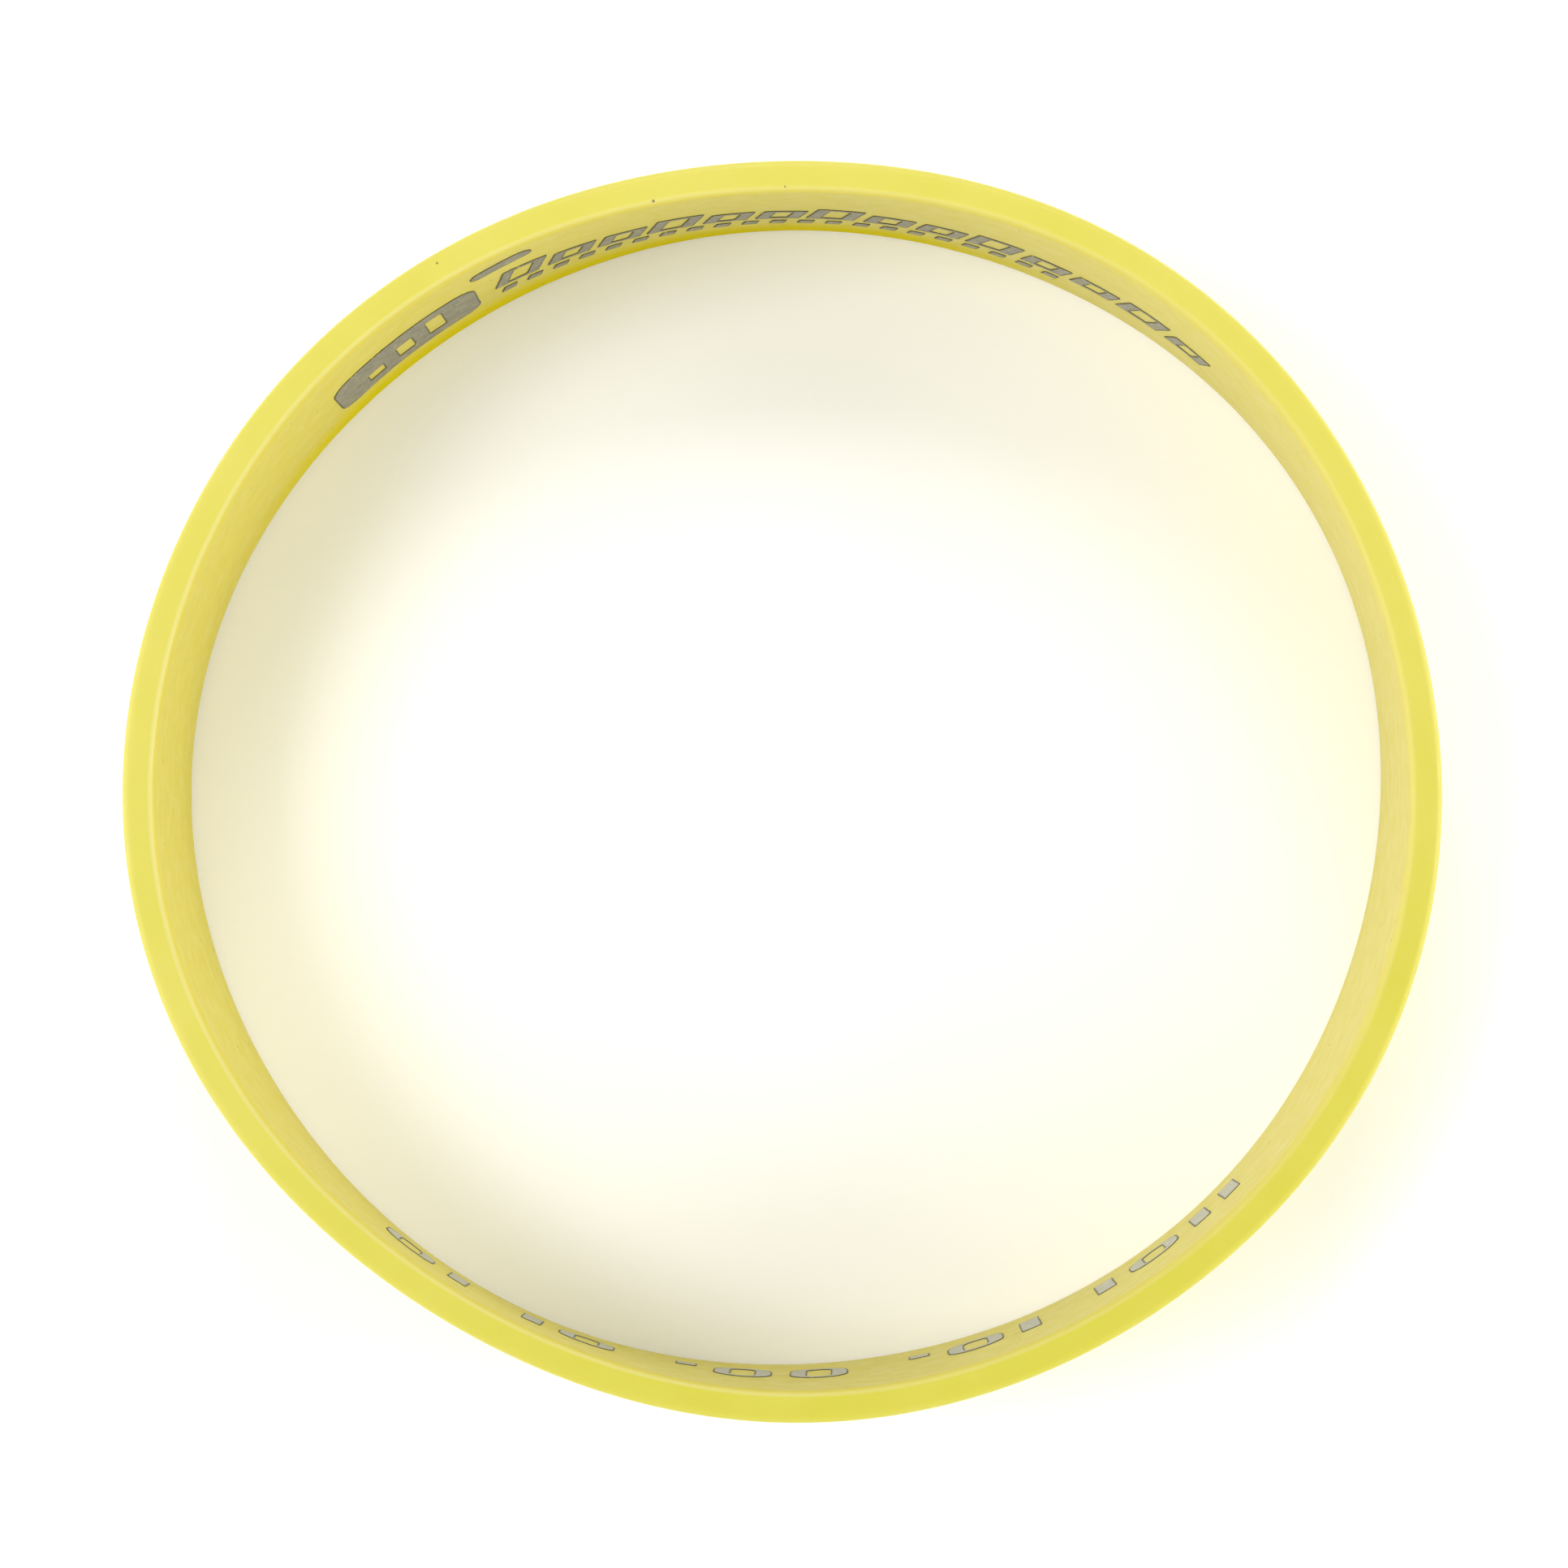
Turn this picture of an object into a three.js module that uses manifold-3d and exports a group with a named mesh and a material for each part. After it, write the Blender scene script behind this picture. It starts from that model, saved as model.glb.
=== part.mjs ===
// A stretch-on marking band for squeeze bottles: one moulded elastomer ring, with ink on its inner wall.
// Millimetres, +Z up. The origin is the middle of the bottom rim, which stands on the table.
// Angles are in degrees, counterclockwise from +X seen from above. The prints are read from inside the
// ring, so they run clockwise. "Along" is the distance along the wall from the start of a print's side to
// the print's left end, and "above" is the height of its middle over the middle of the wall.

import * as THREE from "three";
import { mergeVertices } from "three/addons/utils/BufferGeometryUtils.js";
import Module from "manifold-3d";

// The band's section
const innerRadius = 34;
const wallThickness = 1.8;
const bandHeight = 16;
const edgeRadius = 0.4; // both rims are rounded inside and outside

// How the soft ring stands when nothing holds it: the swing of its radius and the angle of one bulge, for
// each number of lobes round the ring. It is slightly oval, and the oval turns a little from rim to rim.
const lobesAtTop = [
  { lobes: 2, swing: 0.79, angle: -2 },
  { lobes: 3, swing: 0.22, angle: 53 },
  { lobes: 5, swing: 0.14, angle: -18 },
];
const lobesAtBottom = [
  { lobes: 2, swing: 0.84, angle: 9 },
  { lobes: 3, swing: 0.15, angle: 43 },
  { lobes: 5, swing: 0.11, angle: 27 },
];

// How finely round surfaces are faceted
const stepsRound = 180;
const stepsPerEdge = 3;
const stepsPerCorner = 4;

// Ink
const inkThickness = 0.05;
const inkClearance = 0.02; // between the wall and the ink
const ruleHeight = 0.12; // the hairline along a row's foot that ties its marks together

// Emblem: a plain block with round corners, with three rising bars left bare in it
const emblemSide = 139.2; // the angle where the emblem's side of the artwork starts
const emblem = { along: 0, above: -0.8, slope: 0, length: 10.2, height: 6.6, corner: 1.3 };
const emblemBars = { count: 3, width: 1.1, pitch: 2.2, shortest: 1.6, rise: 1 };

// Accent: a slim bar with round ends, which starts above the emblem's right end and rises
const accentGap = 1.8;
const accent = { slope: -0.22, length: 4, height: 1.6, corner: 0.8 };

// Rows of marks. A mark leans to the right by its row's lean for each millimetre that it rises. A mark with a
// frame has a slot left bare in it, between two sides and two rails of the frame's widths.

// Title row: slanted frames in a repeating rhythm of one tall and two short. It runs slightly downhill.
const emblemToTitle = 1.5;
const titlePlace = { above: -0.6, slope: 0.045, gap: 0.5, lean: 0.18 };
const titleFrame = { side: 0.8, rail: 0.45 };
const titleRhythm = [
  { width: 2.8, height: 3.6, frame: titleFrame },
  { width: 2.6, height: 2.8, frame: titleFrame },
  { width: 2.6, height: 2.8, frame: titleFrame },
];
const titleMarks = 14;

// Caption row: small dashes under the title, parallel to it
const titleToCaption = 0.8;
const captionGap = 0.75;
const captionDash = { width: 0.9, height: 1.1 };
const captionDashes = 21;

// Size row, on the opposite side: five groups of upright strokes, round frames and dots
const sizeSide = 319;
const sizePlace = { above: -1.5, slope: 0, gap: 1.05, lean: 0 };
const sizeGroupGap = 3.6;
const stroke = { width: 1.25, height: 4.8 };
const ring = { width: 3.4, height: 4.8, corner: 1.5, frame: { side: 1, rail: 0.5 } };
const dot = { width: 1.25, height: 1.4 };
const sizeGroups = [
  [stroke, stroke, ring, stroke],
  [stroke, ring, dot],
  [ring, ring, dot],
  [ring, stroke],
  [stroke, ring],
];

const cutterReach = 3; // how far an outline is extruded each way through the ink's film

const wasm = await Module();
wasm.setup();

const silicone = new THREE.MeshStandardMaterial({ color: "#ebdf66", roughness: 0.55, metalness: 0 });
const ink = new THREE.MeshStandardMaterial({ color: "#8f8c79", roughness: 0.7, metalness: 0 });

const radians = THREE.MathUtils.degToRad;

// How far one rim stands out of round at an angle in radians.
function swingOf(lobeList, angle) {
  return lobeList.reduce((sum, l) => sum + l.swing * Math.cos(l.lobes * (angle - radians(l.angle))), 0);
}

// Moves every vertex of a piece of the true ring to where it is on the relaxed ring.
function relax(geometry) {
  const position = geometry.getAttribute("position");
  for (let i = 0; i < position.count; i++) {
    const [x, y, z] = [position.getX(i), position.getY(i), position.getZ(i)];
    const angle = Math.atan2(y, x);
    const [bottom, top] = [swingOf(lobesAtBottom, angle), swingOf(lobesAtTop, angle)];
    const radius = Math.hypot(x, y) + THREE.MathUtils.lerp(bottom, top, z / bandHeight);
    position.setXYZ(i, radius * Math.cos(angle), radius * Math.sin(angle), z);
  }
  return geometry;
}

// The band's section, a rectangle with rounded corners: x is the radius and y the height.
function bandSection() {
  const fillet = Math.min(edgeRadius, 0.45 * wallThickness, 0.45 * bandHeight);
  const [near, far] = [innerRadius + fillet, innerRadius + wallThickness - fillet];
  const [low, high] = [fillet, bandHeight - fillet];
  const corners = [
    { r: far, z: low, from: -90 },
    { r: far, z: high, from: 0 },
    { r: near, z: high, from: 90 },
    { r: near, z: low, from: 180 },
  ];
  const points = corners.flatMap(({ r, z, from }) =>
    Array.from({ length: stepsPerEdge + 1 }, (_, i) => {
      const turn = radians(from + (90 * i) / stepsPerEdge);
      return new THREE.Vector2(r + fillet * Math.cos(turn), z + fillet * Math.sin(turn));
    }),
  );
  return [...points, points[0].clone()];
}

function bandGeometry() {
  const sweep = new THREE.LatheGeometry(bandSection(), stepsRound);
  return relax(sweep.rotateX(Math.PI / 2));
}

// A closed geometry as a solid that can be joined and cut, and back again.
function solidOf(geometry) {
  const bare = geometry.clone();
  bare.deleteAttribute("normal");
  bare.deleteAttribute("uv");
  const merged = mergeVertices(bare, 1e-5);
  const vertProperties = merged.getAttribute("position").array;
  const triVerts = new Uint32Array(merged.index.array);
  return new wasm.Manifold(new wasm.Mesh({ numProp: 3, vertProperties, triVerts }));
}

function geometryOf(solid) {
  const mesh = solid.getMesh();
  const geometry = new THREE.BufferGeometry();
  geometry.setAttribute("position", new THREE.BufferAttribute(mesh.vertProperties, 3));
  geometry.setIndex(new THREE.BufferAttribute(mesh.triVerts, 1));
  return geometry;
}

// The angle, in radians, of a point of the artwork on its side of the wall.
function angleAt(side, along) {
  return radians(side) - along / innerRadius;
}

// A strip of the true ring's inner wall: a box bent round the axis, which reaches from one depth to another,
// counted inwards from the wall. A slope lowers its right end.
function wallStrip(side, { along, above, slope, length, height }, fromDepth, toDepth) {
  const steps = Math.ceil((length / (2 * Math.PI * innerRadius)) * stepsRound);
  const strip = new THREE.BoxGeometry(length, toDepth - fromDepth, height, steps, 1, 1);
  const position = strip.getAttribute("position");
  const radius = innerRadius - (fromDepth + toDepth) / 2;
  for (let i = 0; i < position.count; i++) {
    const right = -position.getX(i);
    const around = angleAt(side, along + length / 2 + right);
    const r = radius - position.getY(i);
    const z = position.getZ(i) + bandHeight / 2 + above - slope * right;
    position.setXYZ(i, r * Math.cos(around), r * Math.sin(around), z);
  }
  return strip;
}

// The film of ink that a print's outline is cut from. It is larger than the print all round.
function inkFilm(side, print) {
  const spare = 2;
  const fall = Math.abs(print.slope) * print.length;
  const film = {
    ...print,
    slope: 0,
    along: print.along - spare,
    length: print.length + 2 * spare,
    height: print.height + 2 * spare + fall,
  };
  return solidOf(relax(wallStrip(side, film, inkClearance, inkClearance + inkThickness)));
}

// An outline drawn flat round its own middle, x to the reader's right and y up, extruded through the wall.
function cutterOf(side, outline, middleAlong, middleAbove, slope) {
  const cutter = new THREE.ExtrudeGeometry(outline, { depth: 2 * cutterReach, bevelEnabled: false });
  cutter.translate(0, 0, -cutterReach);
  cutter.rotateZ(-Math.atan(slope));
  const angle = angleAt(side, middleAlong);
  const [x, y] = [Math.cos(angle), Math.sin(angle)];
  const right = new THREE.Vector3(y, -x, 0);
  const up = new THREE.Vector3(0, 0, 1);
  const inward = new THREE.Vector3(-x, -y, 0);
  const place = new THREE.Matrix4().makeBasis(right, up, inward);
  place.setPosition(innerRadius * x, innerRadius * y, bandHeight / 2 + middleAbove);
  return solidOf(cutter.applyMatrix4(place));
}

// Outlines
function roundedBlock({ length, height, corner = 0 }, lean = 0) {
  const round = Math.min(corner, 0.49 * length, 0.49 * height);
  const steps = round > 0 ? stepsPerCorner : 0;
  const [x, y] = [length / 2 - round, height / 2 - round];
  const centres = [
    [x, -y],
    [x, y],
    [-x, y],
    [-x, -y],
  ];
  const points = centres.flatMap(([centreX, centreY], quarter) =>
    Array.from({ length: steps + 1 }, (_, i) => {
      const turn = (Math.PI / 2) * (quarter - 1 + i / stepsPerCorner);
      const up = centreY + round * Math.sin(turn);
      return new THREE.Vector2(centreX + round * Math.cos(turn) + lean * up, up);
    }),
  );
  return new THREE.Shape(points);
}

function markOutline({ width, height, corner }, lean) {
  return roundedBlock({ length: width, height, corner }, lean);
}

// The bare slot of a framed mark. Its corners are as round for its width as the mark's are.
function slotOutline({ width, height, corner = 0, frame }, lean) {
  const length = width - 2 * frame.side;
  return roundedBlock({ length, height: height - 2 * frame.rail, corner: (corner * length) / width }, lean);
}

// The bare bars stand on one line and rise to the right, centred in the emblem.
function risingBars({ count, width, pitch, shortest, rise }) {
  const tallest = shortest + rise * (count - 1);
  return Array.from({ length: count }, (_, i) => {
    const x = pitch * (i - (count - 1) / 2);
    const [left, right] = [x - width / 2, x + width / 2];
    const [foot, head] = [-tallest / 2, -tallest / 2 + shortest + rise * i];
    return new THREE.Shape([
      new THREE.Vector2(left, foot),
      new THREE.Vector2(right, foot),
      new THREE.Vector2(right, head),
      new THREE.Vector2(left, head),
    ]);
  });
}

// A print of one solid block, with some outlines left bare in it.
function blockPrint(side, block, bareOutlines = []) {
  const place = [block.along + block.length / 2, block.above, block.slope];
  let cutter = cutterOf(side, roundedBlock(block), ...place);
  for (const outline of bareOutlines) {
    cutter = cutter.subtract(cutterOf(side, outline, ...place));
  }
  return geometryOf(inkFilm(side, block).intersect(cutter));
}

// The whole length of a row of marks, without what the marks lean past its ends.
function rowLength({ marks, gap }) {
  return marks.reduce((sum, mark) => sum + mark.width, 0) + gap * (marks.length - 1);
}

function rowHeight({ marks }) {
  return Math.max(...marks.map((mark) => mark.height));
}

// A print of many marks in a row, standing on a hairline rule that makes them one piece.
function rowPrint(side, row) {
  const [length, height] = [rowLength(row), rowHeight(row)];
  const print = { ...row, length, height };
  const foot = row.above - height / 2;
  const rule = { ...print, above: foot + ruleHeight / 2, height: ruleHeight };
  let cutter = solidOf(wallStrip(side, rule, -cutterReach, cutterReach));
  let left = 0;
  for (const mark of row.marks) {
    const middle = left + mark.width / 2;
    const above = foot + mark.height / 2 - row.slope * (middle - length / 2);
    const place = [row.along + middle, above, row.slope];
    let solidMark = cutterOf(side, markOutline(mark, row.lean), ...place);
    if (mark.frame) {
      solidMark = solidMark.subtract(cutterOf(side, slotOutline(mark, row.lean), ...place));
    }
    cutter = cutter.add(solidMark);
    left += mark.width + row.gap;
  }
  return geometryOf(inkFilm(side, print).intersect(cutter));
}

// The accent stands above the emblem's right end.
function accentPrint() {
  const above = emblem.above + (emblem.height + accent.height) / 2 + accentGap;
  return blockPrint(emblemSide, { ...accent, along: emblem.along + emblem.length, above });
}

const titleRow = {
  ...titlePlace,
  along: emblem.along + emblem.length + emblemToTitle,
  marks: Array.from({ length: titleMarks }, (_, i) => titleRhythm[i % titleRhythm.length]),
};

// The caption starts under the title's left end and keeps its distance from the title's foot.
function captionPrint() {
  const { along, slope, lean } = titleRow;
  const row = { along, slope, lean, gap: captionGap, marks: Array(captionDashes).fill(captionDash) };
  const titleFoot = titleRow.above - rowHeight(titleRow) / 2;
  const rise = (slope * (rowLength(titleRow) - rowLength(row))) / 2;
  const above = titleFoot + rise - titleToCaption - captionDash.height / 2;
  return rowPrint(emblemSide, { ...row, above });
}

// The groups of the size row follow one another, with a gap after what the last mark of each leans over.
function sizePrints() {
  let along = 0;
  return sizeGroups.map((marks) => {
    const row = { ...sizePlace, along, marks };
    along += rowLength(row) + sizePlace.lean * marks.at(-1).height + sizeGroupGap;
    return rowPrint(sizeSide, row);
  });
}

function named(name, geometry, material) {
  const mesh = new THREE.Mesh(geometry, material);
  mesh.name = name;
  return mesh;
}

const bandMesh = named("band", bandGeometry(), silicone);
const printedBand = new THREE.Group();
printedBand.add(bandMesh);
printedBand.add(named("emblem_print", blockPrint(emblemSide, emblem, risingBars(emblemBars)), ink));
printedBand.add(named("accent_print", accentPrint(), ink));
printedBand.add(named("title_print", rowPrint(emblemSide, titleRow), ink));
printedBand.add(named("caption_print", captionPrint(), ink));
sizePrints().forEach((print, i) => printedBand.add(named(`size_print_${i + 1}`, print, ink)));

// The oval isn't symmetrical, so the ring is moved until its outline is centred on the origin.
const centre = new THREE.Box3().setFromObject(bandMesh).getCenter(new THREE.Vector3());
printedBand.position.set(-centre.x, -centre.y, 0);

const bottleBand = new THREE.Group();
bottleBand.add(printedBand);

export default bottleBand;
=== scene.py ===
"""A stretch-on marking band for squeeze bottles: a moulded silicone ring, printed in grey on its inner wall.

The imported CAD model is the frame. The band is rebuilt as a fine smooth sweep of the same section along the
same relaxed outline, and each print as a thin film of ink that follows the wall, with soft ragged edges.

Sizes are in millimetres until a mesh is made, in metres. Angles are in degrees, counterclockwise from +X
seen from above. The prints are read from inside the ring, so they run clockwise: "along" is the distance
along the wall from the start of a print's side, and "above" the height over the middle of the wall.
"""

import math

import bpy
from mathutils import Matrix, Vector, noise
from mathutils.geometry import delaunay_2d_cdt


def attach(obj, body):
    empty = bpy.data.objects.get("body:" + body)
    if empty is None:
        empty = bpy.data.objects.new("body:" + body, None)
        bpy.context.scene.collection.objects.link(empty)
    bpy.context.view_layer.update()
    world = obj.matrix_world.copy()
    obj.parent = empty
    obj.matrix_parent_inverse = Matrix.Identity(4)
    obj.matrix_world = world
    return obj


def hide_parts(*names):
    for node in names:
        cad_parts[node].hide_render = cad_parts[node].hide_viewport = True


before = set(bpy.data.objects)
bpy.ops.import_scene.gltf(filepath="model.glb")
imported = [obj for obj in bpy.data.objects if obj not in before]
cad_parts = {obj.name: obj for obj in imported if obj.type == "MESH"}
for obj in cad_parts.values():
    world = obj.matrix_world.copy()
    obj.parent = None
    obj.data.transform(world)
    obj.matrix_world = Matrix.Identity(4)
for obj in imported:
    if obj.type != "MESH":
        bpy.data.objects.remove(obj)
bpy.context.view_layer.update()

MM = 0.001

# The band's section, as in the CAD model
INNER_RADIUS = 34.0
WALL_THICKNESS = 1.8
BAND_HEIGHT = 16.0
EDGE_RADIUS = 0.4

# How the soft ring stands when nothing holds it, as (lobes round the ring, swing of the radius, angle of one
# bulge). The outline goes evenly from the lower one to the upper one.
LOBES_AT_TOP = [(2, 0.79, -2), (3, 0.22, 53), (5, 0.14, -18)]
LOBES_AT_BOTTOM = [(2, 0.84, 9), (3, 0.15, 43), (5, 0.11, 27)]

# How finely the band is built
STEPS_ROUND = 720
STEPS_PER_FILLET = 8
STEPS_UP_WALL = 24
STEPS_ACROSS_RIM = 5

# The mould's parting line, a fine raised seam round the middle of the outer wall
SEAM_HEIGHT = 0.16
SEAM_RISE = 0.03

# The side where the silicone is painted darker, as shade where the light falls off
SHADED_SIDE = 285

# A painted highlight, a pale line, runs along the rounded inner edge of the top rim and is brightest on one
# side.
# The distance of its middle from the wall and its half width are shares of the edge's radius.
HIGHLIGHT_SIDE = 185
HIGHLIGHT_MIDDLE = 0.35
HIGHLIGHT_HALF_WIDTH = 0.65
HIGHLIGHT_LEAST = 0.2

# The inner wall has a painted sheen, strongest on one side and thinning away from it. On another side the
# wall's foot has painted shade and yellow bounce light, a more saturated yellow, from the first height down
# and fully so below the second.
SHEEN_SIDE = 5
SHEEN_FALL = 1.25
FOOT_SHADE_SIDE = 108
FOOT_SHADE_TOP = 4.8
FOOT_SHADE_FULL = 1.2

# Ink. Its films have points every INK_STEP inside, every RIM_STEP along the rim, and RIM_WIDTH in from the
# rim, where its dark edge ends. The rim strays by up to RAGGED.
INK_THICKNESS = 0.03
INK_CLEARANCE = 0.01
INK_STEP = 0.3
RIM_STEP = 0.12
RIM_WIDTH = 0.13
RAGGED = 0.035
RAGGED_BENDS = 2.6  # in each millimetre
RAGGED_AWAY = Vector((7.3, 1.9, 4.1))  # a far part of the noise, for how it strays the other way
SAME_POINT = 1e-6  # points nearer than this are one
MARK_CORNER = 0.12
STEPS_PER_CORNER = 4

# The prints. A mark leans to the right by its row's lean for each millimetre that it rises. A mark with a
# frame has a slot left bare in it, between two sides and two rails of the frame's widths.
EMBLEM_SIDE = 139.2
EMBLEM = {"along": 0, "above": -0.8, "length": 10.2, "height": 6.6, "corner": 1.3}
EMBLEM_BARS = {"count": 3, "width": 1.1, "pitch": 2.2, "shortest": 1.6, "rise": 1}
ACCENT_GAP = 1.8
ACCENT = {"slope": -0.22, "length": 4, "height": 1.6, "corner": 0.8}
EMBLEM_TO_TITLE = 1.5
TITLE = {"above": -0.6, "slope": 0.045, "gap": 0.5, "lean": 0.18}
TITLE_FRAME = {"side": 0.8, "rail": 0.45}
TITLE_TALL = {"width": 2.8, "height": 3.6, "frame": TITLE_FRAME}
TITLE_SHORT = {"width": 2.6, "height": 2.8, "frame": TITLE_FRAME}
TITLE_RHYTHM = [TITLE_TALL, TITLE_SHORT, TITLE_SHORT]
TITLE_MARK_COUNT = 14
TITLE_TO_CAPTION = 0.8
CAPTION_GAP = 0.75
CAPTION_DASH = {"width": 0.9, "height": 1.1}
CAPTION_DASHES = 21
SIZE_SIDE = 319
SIZE = {"above": -1.5, "slope": 0, "gap": 1.05, "lean": 0}
SIZE_GROUP_GAP = 3.6
STROKE = {"width": 1.25, "height": 4.8}
RING = {"width": 3.4, "height": 4.8, "corner": 1.5, "frame": {"side": 1, "rail": 0.5}}
DOT = {"width": 1.25, "height": 1.4}
SIZE_GROUPS = [
    [STROKE, STROKE, RING, STROKE],
    [STROKE, RING, DOT],
    [RING, RING, DOT],
    [RING, STROKE],
    [STROKE, RING],
]


def swing_of(lobes, angle):
    return sum(swing * math.cos(count * (angle - math.radians(at))) for count, swing, at in lobes)


def on_ring(angle, radius, height):
    """A point of the true ring, moved to where it is on the relaxed ring. The angle is in radians."""
    share = height / BAND_HEIGHT
    out = radius + (1 - share) * swing_of(LOBES_AT_BOTTOM, angle) + share * swing_of(LOBES_AT_TOP, angle)
    return Vector((out * math.cos(angle), out * math.sin(angle), height))


def ring_centre():
    """The middle of the relaxed ring's outline, which is the part's origin."""
    outer = INNER_RADIUS + WALL_THICKNESS
    angles = [math.tau * i / STEPS_ROUND for i in range(STEPS_ROUND)]
    rim = [on_ring(angle, outer, height) for angle in angles for height in (0, BAND_HEIGHT)]
    xs = [p.x for p in rim]
    ys = [p.y for p in rim]
    return Vector((min(xs) + max(xs), min(ys) + max(ys), 0)) / 2


CENTRE = ring_centre()


def placed(angle, radius, height):
    """A point of the true ring as it is in the scene, in metres."""
    return (on_ring(angle, radius, height) - CENTRE) * MM


def mesh_object(name, points, faces, material):
    mesh = bpy.data.meshes.new(name)
    mesh.from_pydata(points, [], faces)
    mesh.polygons.foreach_set("use_smooth", [True] * len(mesh.polygons))
    mesh.materials.append(material)
    mesh.update()
    made = bpy.data.objects.new(name, mesh)
    bpy.context.scene.collection.objects.link(made)
    return made


def write_attribute(mesh, name, values):
    """Gives each point of a mesh a number that its material reads."""
    mesh.attributes.new(name, "FLOAT", "POINT").data.foreach_set("value", values)


# ---------------------------------------------------------------- nodes


class Nodes:
    """A short way to write the node tree of a material or a world."""

    def __init__(self, owner, output):
        owner.use_nodes = True
        self.owner = owner
        self.tree = owner.node_tree
        self.shader = self.tree.nodes[output]

    def add(self, kind, **settings):
        node = self.tree.nodes.new(kind)
        for key, value in settings.items():
            if key in node.inputs:
                self.feed(node.inputs[key], value)
            else:
                setattr(node, key, value)
        return node

    def feed(self, socket, value):
        if isinstance(value, bpy.types.NodeSocket):
            self.tree.links.new(value, socket)
        else:
            socket.default_value = value

    def place(self):
        return self.add("ShaderNodeTexCoord").outputs["Object"]

    def attribute(self, name):
        return self.add("ShaderNodeAttribute", attribute_name=name).outputs["Fac"]

    def noise(self, size_mm, detail):
        """A noise whose features are about size_mm across, from 0 to 1."""
        node = self.add("ShaderNodeTexNoise", Scale=1 / (size_mm * MM), Detail=detail)
        self.feed(node.inputs["Vector"], self.place())
        return node.outputs["Fac"]

    def math(self, operation, first, second):
        node = self.add("ShaderNodeMath", operation=operation)
        self.feed(node.inputs[0], first)
        self.feed(node.inputs[1], second)
        return node.outputs[0]

    def range(self, value, low, high, to_low=0.0, to_high=1.0):
        """The value's place between low and high, as the same place between to_low and to_high."""
        node = self.add("ShaderNodeMapRange", clamp=True)
        for socket, given in zip(node.inputs, (value, low, high, to_low, to_high)):
            self.feed(socket, given)
        return node.outputs[0]

    def mix(self, share, first, second):
        node = self.add("ShaderNodeMix", data_type="RGBA")
        self.feed(node.inputs["Factor"], share)
        for socket, given in zip([s for s in node.inputs if s.type == "RGBA"], (first, second)):
            self.feed(socket, given)
        return next(s for s in node.outputs if s.type == "RGBA")

    def specks(self, cell_mm, size_mm, kept):
        """1 inside small round specks with soft edges, one in each cell of a random share of a pattern."""
        cells = self.add("ShaderNodeTexVoronoi", Scale=1 / (cell_mm * MM))
        self.feed(cells.inputs["Vector"], self.place())
        size = size_mm / cell_mm
        near = self.range(cells.outputs["Distance"], 0.35 * size, 0.5 * size, to_low=1.0, to_high=0.0)
        lottery = self.add("ShaderNodeSeparateColor", Color=cells.outputs["Color"]).outputs[0]
        return self.math("MULTIPLY", near, self.math("LESS_THAN", lottery, kept))

    def pattern(self, size_mm, detail, low, high, to_low=0.0, to_high=1.0):
        """A noise stretched so that its values from low to high run from to_low to to_high."""
        return self.range(self.noise(size_mm, detail), low, high, to_low, to_high)

    def bump(self, height, distance_mm, under=None):
        node = self.add("ShaderNodeBump", Distance=distance_mm * MM, Height=height)
        if under:
            self.feed(node.inputs["Normal"], under)
        return node.outputs["Normal"]


# ---------------------------------------------------------------- materials

LEMON = (0.546, 0.495, 0.08, 1)
# A darker lemon, for the random mottle and for the painted shade on one side
LEMON_MOTTLE_AND_SHADE = (0.507, 0.468, 0.042, 1)
# The painted highlight along the rounded inner edge
EDGE_HIGHLIGHT = (0.62, 0.59, 0.31, 1)
# The inner wall, painted darker and oranger than the top as shade and yellow bounce light
INNER_WALL_SHADED = (0.508, 0.435, 0.034, 1)
# The inner wall's painted sheen, which the ink's pinholes also show
WALL_PAINTED_SHEEN = (0.538, 0.468, 0.093, 1)
# Painted shade and yellow bounce light at the inner wall's foot: a more saturated yellow
FOOT_SHADE = (0.545, 0.455, 0.0, 1)
SPECK = (0.10, 0.08, 0.035, 1)
INK_GREY = (0.11, 0.103, 0.072, 1)
INK_THIN = (0.16, 0.147, 0.09, 1)
# Paler ink: a painted sheen on the size prints
INK_PAINTED_SHEEN = (0.29, 0.29, 0.24, 1)
INK_DARK = (0.07, 0.058, 0.035, 1)
FLOOR_WHITE = (0.95, 0.95, 0.95, 1)
FLOOR_WHITER = (0.97, 0.97, 0.97, 1)

# How large the features of the materials' patterns are, and how high their bumps
MOTTLE_SIZE = 5.0
SHEEN_CLOUD_SIZE = 2.2
SPECKS = {"cell_mm": 1.2, "size_mm": 0.2, "kept": 0.2}
SILICONE_SHEEN_SIZE = 1.3
SKIN_SIZE = 0.35
SKIN_BUMP = 0.003
WAVE_SIZE = 6.0
WAVE_BUMP = 0.02
COVER_SIZE = 0.9
PINHOLE_SIZE = 0.22
INK_SHEEN_SIZE = 0.6
INK_GRAIN_SIZE = 0.3
INK_BUMP = 0.008
FLOOR_TONE_SIZE = 90.0
FLOOR_GRAIN_SIZE = 2.0

# How strongly each tint, and the painted shade on one side, covers the colour under it
MOTTLE_SHARE = 0.35
SIDE_SHADE_SHARE = 0.65
SPECK_SHARE = 0.8
RIM_SHARE = 0.8

# Roughness, from the glossiest spots to the dullest, and what the wall's foot, where shade is painted, and
# the ink's rim add to it
SILICONE_ROUGHNESS = (0.42, 0.56)
INK_ROUGHNESS = (0.3, 0.42)
FLOOR_ROUGHNESS = (0.85, 0.95)
DULLER = 0.3

# The silicone's gloss, which the wall's foot nearly loses where shade is painted, and the light that goes a
# little way into it
SPECULAR = 0.5
SPECULAR_LOSS = 0.45
SILICONE_IOR = 1.45
GLOW_WEIGHT = 0.25
GLOW_RADIUS = (1.0, 0.75, 0.15)
GLOW_DEPTH = 0.9


def new_material(name):
    return Nodes(bpy.data.materials.new(name), "Principled BSDF")


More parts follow.
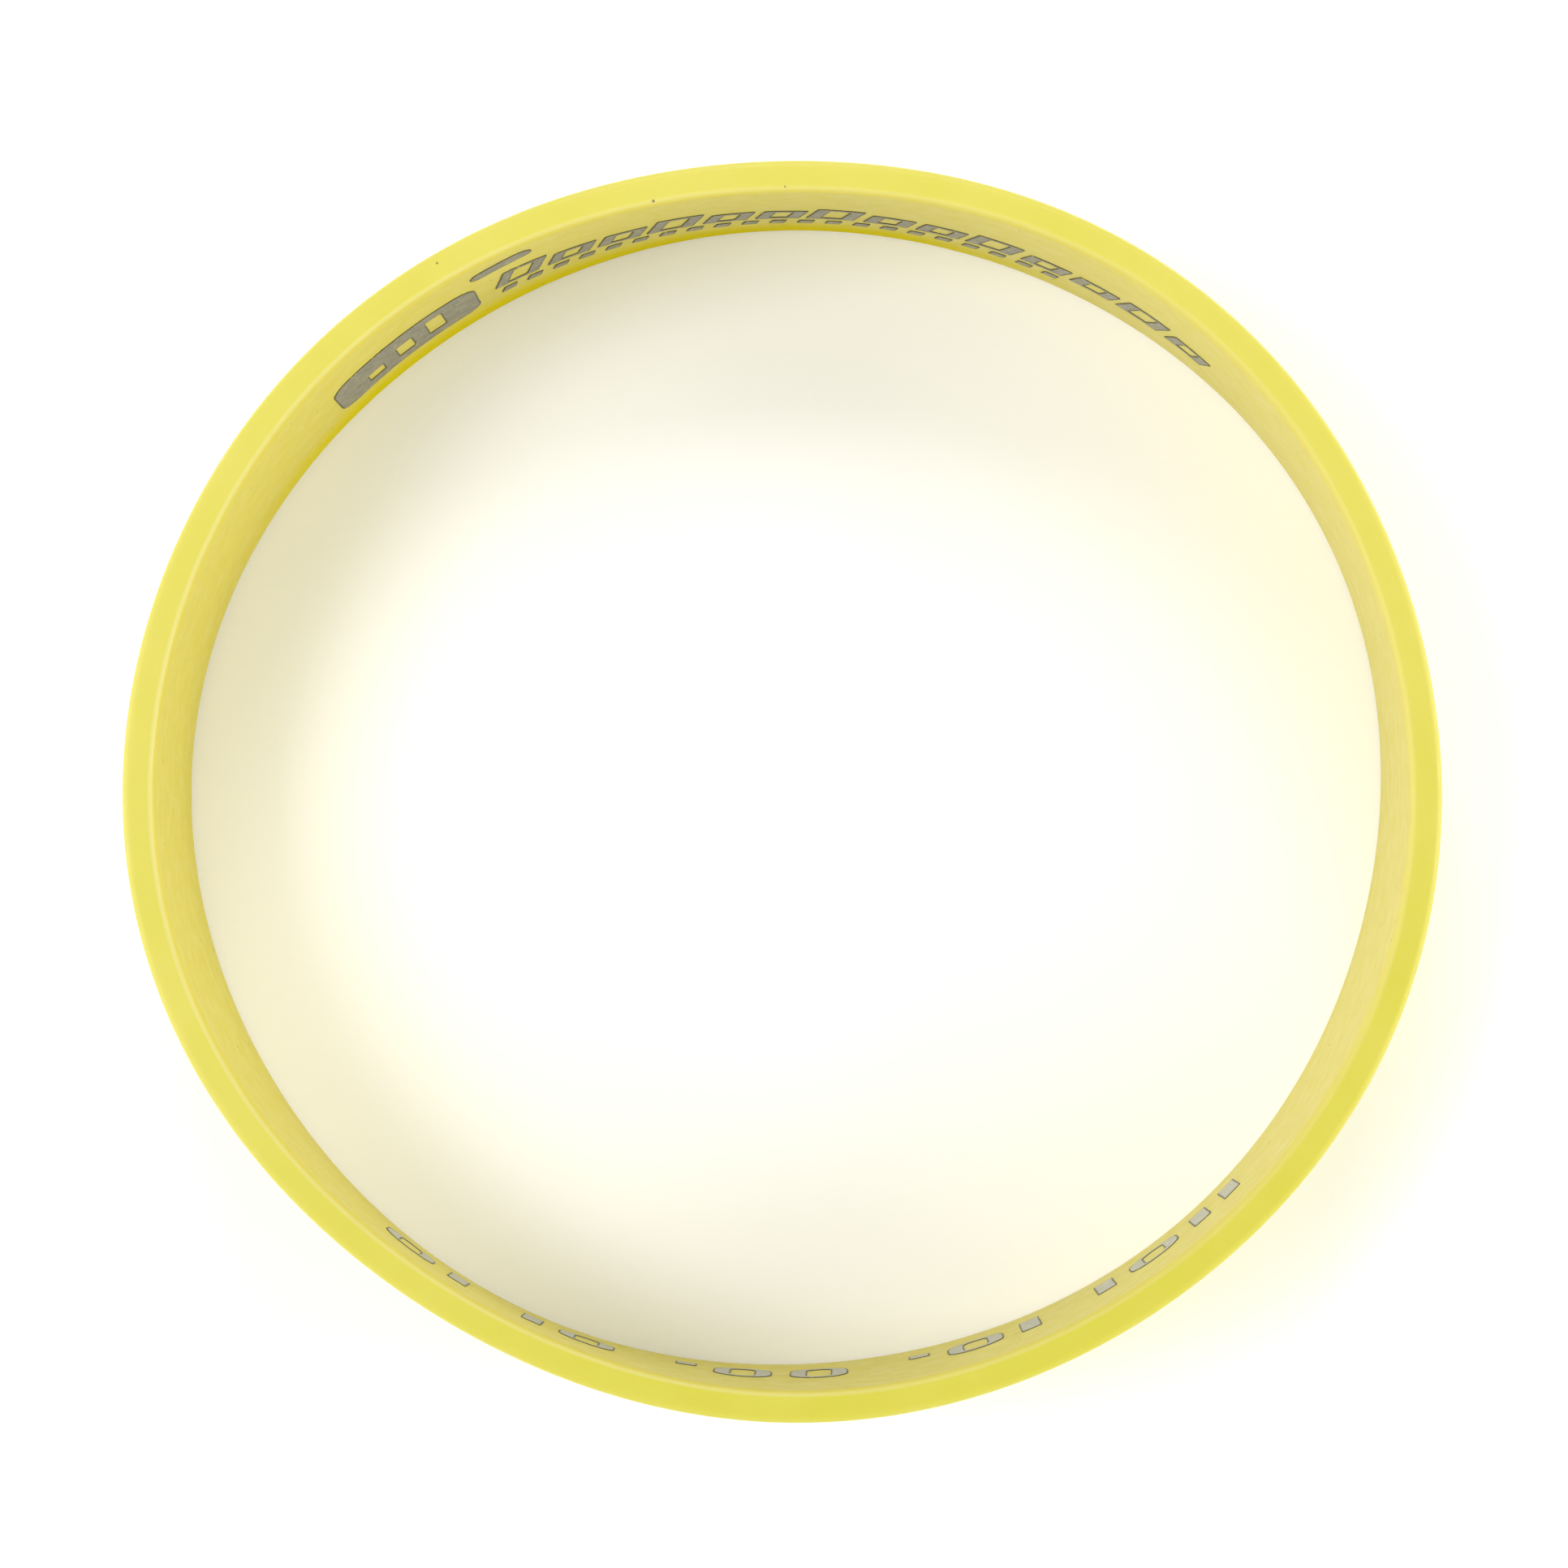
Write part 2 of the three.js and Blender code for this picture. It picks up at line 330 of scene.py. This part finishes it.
def silicone_colour(n):
    """Mottled lemon yellow, with painted shade on one side, a painted highlight along the rounded inner
    edge, an inner wall painted darker as shade and bounce light, a painted sheen on one side of it, and
    painted shade at its foot.
    """
    mottle = n.pattern(MOTTLE_SIZE, 4, 0.35, 0.65, 0.0, MOTTLE_SHARE)
    # Painted shade on one side of the ring
    painted_side_shade = n.math("MULTIPLY", n.attribute("painted_side_shade"), SIDE_SHADE_SHARE)
    body = n.mix(n.math("ADD", mottle, painted_side_shade), LEMON, LEMON_MOTTLE_AND_SHADE)
    # The painted highlight along the rounded inner edge
    body = n.mix(n.attribute("edge"), body, EDGE_HIGHLIGHT)
    # The painted sheen on one side of the inner wall, in uneven clouds
    sheen_cloud = n.pattern(SHEEN_CLOUD_SIZE, 3, 0.3, 0.65, 0.88, 1.0)
    inner = n.mix(n.math("MULTIPLY", n.attribute("painted_sheen"), sheen_cloud), INNER_WALL_SHADED, WALL_PAINTED_SHEEN)
    # Painted shade and bounce light at the foot of one side of the inner wall
    inner = n.mix(n.attribute("foot"), inner, FOOT_SHADE)
    # The inner wall's colour, with its painted shade, bounce light and sheen
    body = n.mix(n.attribute("inside"), body, inner)
    return n.mix(n.math("MULTIPLY", n.specks(**SPECKS), SPECK_SHARE), body, SPECK)


def silicone_material():
    """Opaque satin silicone whose skin is finely grained and slightly wavy."""
    n = new_material("silicone")
    n.feed(n.shader.inputs["Base Color"], silicone_colour(n))
    rough = n.pattern(SILICONE_SHEEN_SIZE, 4, 0.3, 0.7, *SILICONE_ROUGHNESS)
    # The foot, where shade is painted, is also duller and nearly loses its gloss
    duller = n.math("MULTIPLY", n.attribute("foot"), DULLER)
    n.feed(n.shader.inputs["Roughness"], n.math("ADD", rough, duller))
    loss = n.math("MULTIPLY", n.attribute("foot"), SPECULAR_LOSS)
    n.feed(n.shader.inputs["Specular IOR Level"], n.math("SUBTRACT", SPECULAR, loss))
    skin = n.bump(n.noise(SKIN_SIZE, detail=2), SKIN_BUMP)
    waves = n.bump(n.noise(WAVE_SIZE, detail=1), WAVE_BUMP, under=skin)
    n.feed(n.shader.inputs["Normal"], waves)
    n.shader.inputs["IOR"].default_value = SILICONE_IOR
    n.shader.inputs["Subsurface Weight"].default_value = GLOW_WEIGHT
    n.shader.inputs["Subsurface Radius"].default_value = GLOW_RADIUS
    n.shader.inputs["Subsurface Scale"].default_value = GLOW_DEPTH * MM
    return n.owner


def ink_material():
    """Pad-printed grey ink: uneven, with pinholes that show the silicone, a dark rim, and a painted sheen
    that makes the sizes paler.
    """
    n = new_material("ink")
    cover = n.pattern(COVER_SIZE, 4, 0.38, 0.68)
    # The size prints' ink is made paler, a painted sheen
    body = n.mix(n.attribute("pale"), n.mix(cover, INK_GREY, INK_THIN), INK_PAINTED_SHEEN)
    rim = n.range(n.attribute("rim"), 0.1, 0.7)
    body = n.mix(n.math("MULTIPLY", rim, RIM_SHARE), body, INK_DARK)
    body = n.mix(n.pattern(PINHOLE_SIZE, 2, 0.66, 0.72), body, WALL_PAINTED_SHEEN)
    n.feed(n.shader.inputs["Base Color"], body)
    rough = n.pattern(INK_SHEEN_SIZE, 3, 0.3, 0.7, *INK_ROUGHNESS)
    n.feed(n.shader.inputs["Roughness"], n.math("ADD", rough, n.math("MULTIPLY", rim, DULLER)))
    n.feed(n.shader.inputs["Normal"], n.bump(n.noise(INK_GRAIN_SIZE, detail=3), INK_BUMP))
    return n.owner


def floor_material():
    n = new_material("pale_floor")
    tone = n.noise(FLOOR_TONE_SIZE, detail=2)
    n.feed(n.shader.inputs["Base Color"], n.mix(tone, FLOOR_WHITE, FLOOR_WHITER))
    n.feed(n.shader.inputs["Roughness"], n.pattern(FLOOR_GRAIN_SIZE, 3, 0.3, 0.7, *FLOOR_ROUGHNESS))
    n.shader.inputs["Specular IOR Level"].default_value = 0.1
    return n.owner


# ---------------------------------------------------------------- the band


def fillet(centre_radius, centre_height, start):
    """The points of one rounded edge of the section, a quarter turn from the start angle."""
    points = []
    for i in range(STEPS_PER_FILLET + 1):
        turn = math.radians(start + 90 * i / STEPS_PER_FILLET)
        radius = centre_radius + EDGE_RADIUS * math.cos(turn)
        points.append((radius, centre_height + EDGE_RADIUS * math.sin(turn)))
    return points


def straight(start, end, steps):
    """The points between two points of the section, without its ends."""
    shares = [i / steps for i in range(1, steps)]
    return [(start[0] + s * (end[0] - start[0]), start[1] + s * (end[1] - start[1])) for s in shares]


def band_section():
    """The section's closed outline as (radius, height): up the outside, over the rim and down inside."""
    near, far = INNER_RADIUS + EDGE_RADIUS, INNER_RADIUS + WALL_THICKNESS - EDGE_RADIUS
    low, high = EDGE_RADIUS, BAND_HEIGHT - EDGE_RADIUS
    corners = [fillet(far, low, -90), fillet(far, high, 0), fillet(near, high, 90), fillet(near, low, 180)]
    steps = [STEPS_UP_WALL, STEPS_ACROSS_RIM, STEPS_UP_WALL, STEPS_ACROSS_RIM]
    section = []
    for i, (corner, count) in enumerate(zip(corners, steps)):
        section += corner + straight(corner[-1], corners[(i + 1) % 4][0], count)
    return section


def seam_rise(radius, height):
    """How far the parting line lifts a point of the outer wall."""
    if radius < INNER_RADIUS + WALL_THICKNESS / 2:
        return 0.0
    away = abs(height - BAND_HEIGHT / 2) / (SEAM_HEIGHT / 2)
    return SEAM_RISE * max(0.0, 1 - away)


def with_seam(section):
    """The section with the parting line's three points in the middle of the outer wall."""
    outer, middle = INNER_RADIUS + WALL_THICKNESS, BAND_HEIGHT / 2
    seam = [(outer, middle + side * SEAM_HEIGHT / 2) for side in (-1, 0, 1)]
    kept = [p for p in section if p[0] < outer - EDGE_RADIUS or abs(p[1] - middle) > SEAM_HEIGHT]
    first_above = next(i for i, p in enumerate(kept) if p[1] > middle)
    return kept[:first_above] + seam + kept[first_above:]


def smooth(value, low, high):
    """0 below low, 1 above high, and a smooth step between them, which may run either way."""
    share = min(1.0, max(0.0, (value - low) / (high - low)))
    return share * share * (3 - 2 * share)


def facing(angle, towards):
    """1 where the wall is on the side that an angle in degrees names, 0 on the opposite side."""
    return (1 + math.cos(angle - math.radians(towards))) / 2


def surface_marks(angle, radius, height):
    """How strongly each tint of the silicone, and each of its painted shades, highlight and sheen, shows at
    a point, from 0 to 1.
    """
    # Where the inner wall's colour, painted darker as shade, takes over
    inside = smooth(radius, INNER_RADIUS + EDGE_RADIUS, INNER_RADIUS)
    across = (radius - INNER_RADIUS) / EDGE_RADIUS
    # The painted highlight's line across the rounded inner edge, brightest on one side
    line = max(0.0, 1 - abs(across - HIGHLIGHT_MIDDLE) / HIGHLIGHT_HALF_WIDTH)
    highlight_strength = HIGHLIGHT_LEAST + (1 - HIGHLIGHT_LEAST) * facing(angle, HIGHLIGHT_SIDE)
    edge = line * highlight_strength if height > BAND_HEIGHT / 2 else 0.0
    # Painted shade on one side of the ring
    painted_side_shade = smooth(facing(angle, SHADED_SIDE), 0.5, 1.0)
    # The painted sheen, strongest on one side of the inner wall
    painted_sheen = facing(angle, SHEEN_SIDE) ** SHEEN_FALL
    # Painted shade and bounce light at the foot of one side of the inner wall
    foot = smooth(height, FOOT_SHADE_TOP, FOOT_SHADE_FULL) * smooth(facing(angle, FOOT_SHADE_SIDE), 0.8, 0.95)
    return {"inside": inside, "edge": edge, "painted_side_shade": painted_side_shade, "painted_sheen": painted_sheen, "foot": foot}


def make_band(material):
    section = with_seam(band_section())
    points = []
    marks = []
    for i in range(STEPS_ROUND):
        angle = math.tau * i / STEPS_ROUND
        for radius, height in section:
            points.append(placed(angle, radius + seam_rise(radius, height), height))
            marks.append(surface_marks(angle, radius, height))
    count = len(section)
    faces = []
    for i in range(STEPS_ROUND):
        this, after = i * count, (i + 1) % STEPS_ROUND * count
        for j in range(count):
            k = (j + 1) % count
            faces.append((this + j, after + j, after + k, this + k))
    band = mesh_object("silicone_band", points, faces, material)
    for name in marks[0]:
        write_attribute(band.data, name, [m[name] for m in marks])
    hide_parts("band")
    return band


# ---------------------------------------------------------------- the prints

# An outline is a closed list of (x, y), x to the reader's right and y up, round the print's own middle.


def block(length, height, corner, lean=0.0):
    """A block with round corners that leans to the right by its lean for each millimetre that it rises."""
    round_by = min(corner, 0.49 * length, 0.49 * height)
    x, y = length / 2 - round_by, height / 2 - round_by
    points = []
    for quarter, (centre_x, centre_y) in enumerate(((x, -y), (x, y), (-x, y), (-x, -y))):
        for i in range(STEPS_PER_CORNER + 1):
            turn = math.pi / 2 * (quarter - 1 + i / STEPS_PER_CORNER)
            up = centre_y + round_by * math.sin(turn)
            points.append(Vector((centre_x + round_by * math.cos(turn) + lean * up, up)))
    return points


def mark_outline(mark, lean):
    return block(mark["width"], mark["height"], mark.get("corner", MARK_CORNER), lean)


def slot_outline(mark, lean):
    """The bare slot of a framed mark. Its corners are as round for its width as the mark's are."""
    width = mark["width"] - 2 * mark["frame"]["side"]
    height = mark["height"] - 2 * mark["frame"]["rail"]
    return block(width, height, mark.get("corner", MARK_CORNER) * width / mark["width"], lean)


def rising_bars(count, width, pitch, shortest, rise):
    """Bars that stand on one line and rise to the right, round their own middle."""
    tallest = shortest + rise * (count - 1)
    bars = []
    for i in range(count):
        bar = block(width, shortest + rise * i, MARK_CORNER)
        up = (shortest + rise * i - tallest) / 2
        bars.append([p + Vector((pitch * (i - (count - 1) / 2), up)) for p in bar])
    return bars


def moved(outline, along, above, slope):
    """An outline turned by the slope of its row and moved to its place on the artwork."""
    turn = -math.atan(slope)
    cos, sin = math.cos(turn), math.sin(turn)
    return [Vector((along + p.x * cos - p.y * sin, above + p.x * sin + p.y * cos)) for p in outline]


def ragged(p):
    """How far the rim of the ink strays at a point, the same at each run."""
    at = Vector((p.x, p.y, 0)) * RAGGED_BENDS
    return RAGGED * Vector((noise.noise(at), noise.noise(at + RAGGED_AWAY)))


def resampled(outline):
    """The outline with points at most RIM_STEP apart, each strayed a little, as pad-printed ink is."""
    points = []
    for i, start in enumerate(outline):
        end = outline[(i + 1) % len(outline)]
        count = max(1, math.ceil((end - start).length / RIM_STEP))
        points += [start.lerp(end, j / count) for j in range(count)]
    kept = [p for i, p in enumerate(points) if (p - points[i - 1]).length > 0.2 * RIM_STEP]
    return [p + ragged(p) for p in kept]


def inside_of(p, outline):
    """Whether a point is inside a closed outline, by counting crossings."""
    inside = False
    for i, a in enumerate(outline):
        b = outline[i - 1]
        if (a.y > p.y) != (b.y > p.y) and p.x < (b.x - a.x) * (p.y - a.y) / (b.y - a.y) + a.x:
            inside = not inside
    return inside


def is_bare(p, loops):
    """Whether a point is outside the first of some outlines, or inside one of the holes after it."""
    return not inside_of(p, loops[0]) or any(inside_of(p, hole) for hole in loops[1:])


def room_at(p, rim):
    return min((p - q).length for q in rim)


def points_near_rim(loops, rim):
    """Points that follow the rim at RIM_WIDTH, where the ink is wide enough for them."""
    points = []
    for loop in loops:
        for i, p in enumerate(loop):
            ahead = (loop[(i + 1) % len(loop)] - loop[i - 1]).normalized()
            aside = RIM_WIDTH * Vector((-ahead.y, ahead.x))
            for inset in (p + aside, p - aside):
                if not is_bare(inset, loops) and room_at(inset, rim) > 0.7 * RIM_WIDTH:
                    points.append(inset)
    return points


def points_inside(loops, rim):
    """A grid of points INK_STEP apart over the rest of the ink."""
    points = []
    xs, ys = [p.x for p in loops[0]], [p.y for p in loops[0]]
    for i in range(int(min(xs) / INK_STEP) - 1, int(max(xs) / INK_STEP) + 2):
        for j in range(int(min(ys) / INK_STEP) - 1, int(max(ys) / INK_STEP) + 2):
            p = Vector((i, j)) * INK_STEP
            if not is_bare(p, loops) and room_at(p, rim) > 0.5 * INK_STEP + RIM_WIDTH:
                points.append(p)
    return points


def filled(outline, holes):
    """An outline less its holes, as points, triangles, and whether each point is on the rim."""
    loops = [resampled(outline)] + [resampled(hole) for hole in holes]
    rim = []
    edges = []
    for loop in loops:
        first = len(rim)
        rim += loop
        edges += [(first + i, first + (i + 1) % len(loop)) for i in range(len(loop))]
    points = rim + points_near_rim(loops, rim) + points_inside(loops, rim)
    verts, _, triangles, sources, _, _ = delaunay_2d_cdt(points, edges, [], 0, SAME_POINT)
    on_rim = [any(s < len(rim) for s in source) for source in sources]
    kept = [t for t in triangles if not is_bare(sum((verts[i] for i in t), Vector((0, 0))) / 3, loops)]
    return verts, kept, on_rim


def add_film(shape, side, outline, holes):
    """Adds a film of ink to a shape's points, faces and rim: a front, a back and the edge between them."""
    verts, triangles, on_rim = filled(outline, holes)
    count, first = len(verts), len(shape["points"])
    for depth in (INK_CLEARANCE + INK_THICKNESS, INK_CLEARANCE):
        for p in verts:
            angle = math.radians(side) - p.x / INNER_RADIUS
            shape["points"].append(placed(angle, INNER_RADIUS - depth, BAND_HEIGHT / 2 + p.y))
        shape["rim"] += [float(r) for r in on_rim]
    sides = []
    for a, b, c in triangles:
        shape["faces"].append((first + a, first + b, first + c))
        shape["faces"].append((first + count + c, first + count + b, first + count + a))
        sides += [(a, b), (b, c), (c, a)]
    shared = set(sides)
    for a, b in sides:
        if (b, a) not in shared:
            shape["faces"].append((first + b, first + a, first + count + a, first + count + b))


def make_print(node, side, films, material, pale=0.0):
    """A print as one object: films is a list of (outline, holes), and the last argument is how strongly a
    painted sheen makes its ink paler.
    """
    shape = {"points": [], "faces": [], "rim": []}
    for outline, holes in films:
        add_film(shape, side, outline, holes)
    made = mesh_object(node + "_ink", shape["points"], shape["faces"], material)
    write_attribute(made.data, "rim", shape["rim"])
    write_attribute(made.data, "pale", [pale] * len(shape["points"]))
    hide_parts(node)
    return made


def row_length(marks, gap):
    return sum(mark["width"] for mark in marks) + gap * (len(marks) - 1)


def row_height(marks):
    return max(mark["height"] for mark in marks)


def row_films(marks, along, above, slope, gap, lean):
    """The marks of a row, which stand on its foot, as (outline, holes)."""
    length = row_length(marks, gap)
    foot = above - row_height(marks) / 2
    films = []
    left = 0.0
    for mark in marks:
        middle = left + mark["width"] / 2
        place = (along + middle, foot + mark["height"] / 2 - slope * (middle - length / 2), slope)
        holes = [moved(slot_outline(mark, lean), *place)] if "frame" in mark else []
        films.append((moved(mark_outline(mark, lean), *place), holes))
        left += mark["width"] + gap
    return films


def make_emblem(material):
    place = (EMBLEM["along"] + EMBLEM["length"] / 2, EMBLEM["above"], 0)
    outline = moved(block(EMBLEM["length"], EMBLEM["height"], EMBLEM["corner"]), *place)
    bars = [moved(bar, *place) for bar in rising_bars(**EMBLEM_BARS)]
    return make_print("emblem_print", EMBLEM_SIDE, [(outline, bars)], material)


def make_accent(material):
    along = EMBLEM["along"] + EMBLEM["length"] + ACCENT["length"] / 2
    above = EMBLEM["above"] + (EMBLEM["height"] + ACCENT["height"]) / 2 + ACCENT_GAP
    bar = block(ACCENT["length"], ACCENT["height"], ACCENT["corner"])
    outline = moved(bar, along, above, ACCENT["slope"])
    return make_print("accent_print", EMBLEM_SIDE, [(outline, [])], material)


TITLE_ALONG = EMBLEM["along"] + EMBLEM["length"] + EMBLEM_TO_TITLE
TITLE_MARKS = [TITLE_RHYTHM[i % len(TITLE_RHYTHM)] for i in range(TITLE_MARK_COUNT)]


def make_title(material):
    films = row_films(TITLE_MARKS, TITLE_ALONG, **TITLE)
    return make_print("title_print", EMBLEM_SIDE, films, material)


def make_caption(material):
    marks = [CAPTION_DASH] * CAPTION_DASHES
    foot = TITLE["above"] - row_height(TITLE_MARKS) / 2
    rise = TITLE["slope"] * (row_length(TITLE_MARKS, TITLE["gap"]) - row_length(marks, CAPTION_GAP)) / 2
    above = foot + rise - TITLE_TO_CAPTION - CAPTION_DASH["height"] / 2
    films = row_films(marks, TITLE_ALONG, above, TITLE["slope"], CAPTION_GAP, TITLE["lean"])
    return make_print("caption_print", EMBLEM_SIDE, films, material)


def make_sizes(material):
    made = []
    along = 0.0
    for i, marks in enumerate(SIZE_GROUPS):
        films = row_films(marks, along, **SIZE)
        # Their ink is made paler, a painted sheen
        made.append(make_print(f"size_print_{i + 1}", SIZE_SIDE, films, material, pale=1.0))
        along += row_length(marks, SIZE["gap"]) + SIZE["lean"] * marks[-1]["height"] + SIZE_GROUP_GAP
    return made


# ---------------------------------------------------------------- floor, light and camera

# The floor and the lights are in metres and watts
FLOOR_HALF = 2.0
FLOOR_DROP = 0.05 * MM
SOFTBOXES = {
    "overhead": {"place": (-0.6, 0, 1.04), "size": 0.5, "power": 4.9},
    "left": {"place": (-1.1, 0, 0.42), "size": 0.5, "power": 4.4},
    "right": {"place": (1.1, 0, 0.42), "size": 0.5, "power": 7.7},
    "back": {"place": (0, 0.3, 0.26), "size": 0.2, "power": 0.72},
}

# How bright the light tent's walls are at the floor, and what is added straight to each side and in front
TENT_WALL = 0.56
TENT_SIDES = 0.92
TENT_FRONT = 1.32


def make_floor():
    quarters = ((-1, -1), (1, -1), (1, 1), (-1, 1))
    corners = [(x * FLOOR_HALF, y * FLOOR_HALF, -FLOOR_DROP) for x, y in quarters]
    floor = mesh_object("floor", corners, [(0, 1, 2, 3)], floor_material())


def make_softbox(name, place, size, power):
    """A square lamp that faces the part."""
    light = bpy.data.lights.new("softbox_" + name, "AREA")
    light.size = size
    light.energy = power
    made = bpy.data.objects.new(light.name, light)
    made.visible_camera = False
    made.location = place
    made.rotation_euler = (-Vector(place)).to_track_quat("-Z", "Y").to_euler()
    bpy.context.scene.collection.objects.link(made)


def make_tent_light():
    """A white light tent: its walls are brighter than its roof, most of all in front and at the sides."""
    n = Nodes(bpy.data.worlds.new("light_tent"), "Background")
    direction = n.add("ShaderNodeSeparateXYZ", Vector=n.add("ShaderNodeTexCoord").outputs["Generated"])
    across, back, up = direction.outputs
    wall = n.math("MULTIPLY", n.math("SUBTRACT", 1.0, n.math("MAXIMUM", up, 0.0)), TENT_WALL)
    sides = n.math("MULTIPLY", n.math("MULTIPLY", across, across), TENT_SIDES)
    front = n.math("MULTIPLY", n.math("MAXIMUM", n.math("MULTIPLY", back, -1.0), 0.0), TENT_FRONT)
    strength = n.math("ADD", n.math("ADD", wall, sides), front)
    n.feed(n.shader.inputs["Strength"], strength)
    n.shader.inputs["Color"].default_value = (1, 1, 1, 1)
    bpy.context.scene.world = n.owner


CAMERA_PLACE = Vector((3.59, -9.66, 290.07))
CAMERA_TILT = (0.0359, 0.0126, 0)  # in radians
LENS = 113.71
SENSOR = 36.0


def make_camera():
    data = bpy.data.cameras.new("camera")
    data.lens = LENS
    data.sensor_width = SENSOR
    data.clip_start = 0.01
    camera = bpy.data.objects.new("camera", data)
    camera.location = CAMERA_PLACE * MM
    camera.rotation_euler = CAMERA_TILT
    bpy.context.scene.collection.objects.link(camera)
    bpy.context.scene.camera = camera


silicone = silicone_material()
ink = ink_material()
pieces = [make_band(silicone), make_emblem(ink), make_accent(ink), make_title(ink), make_caption(ink)]
pieces += make_sizes(ink)
for piece in pieces:
    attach(piece, "root")

make_floor()
make_tent_light()
for name, softbox in SOFTBOXES.items():
    make_softbox(name, **softbox)
make_camera()
bpy.context.scene.view_settings.view_transform = "Standard"
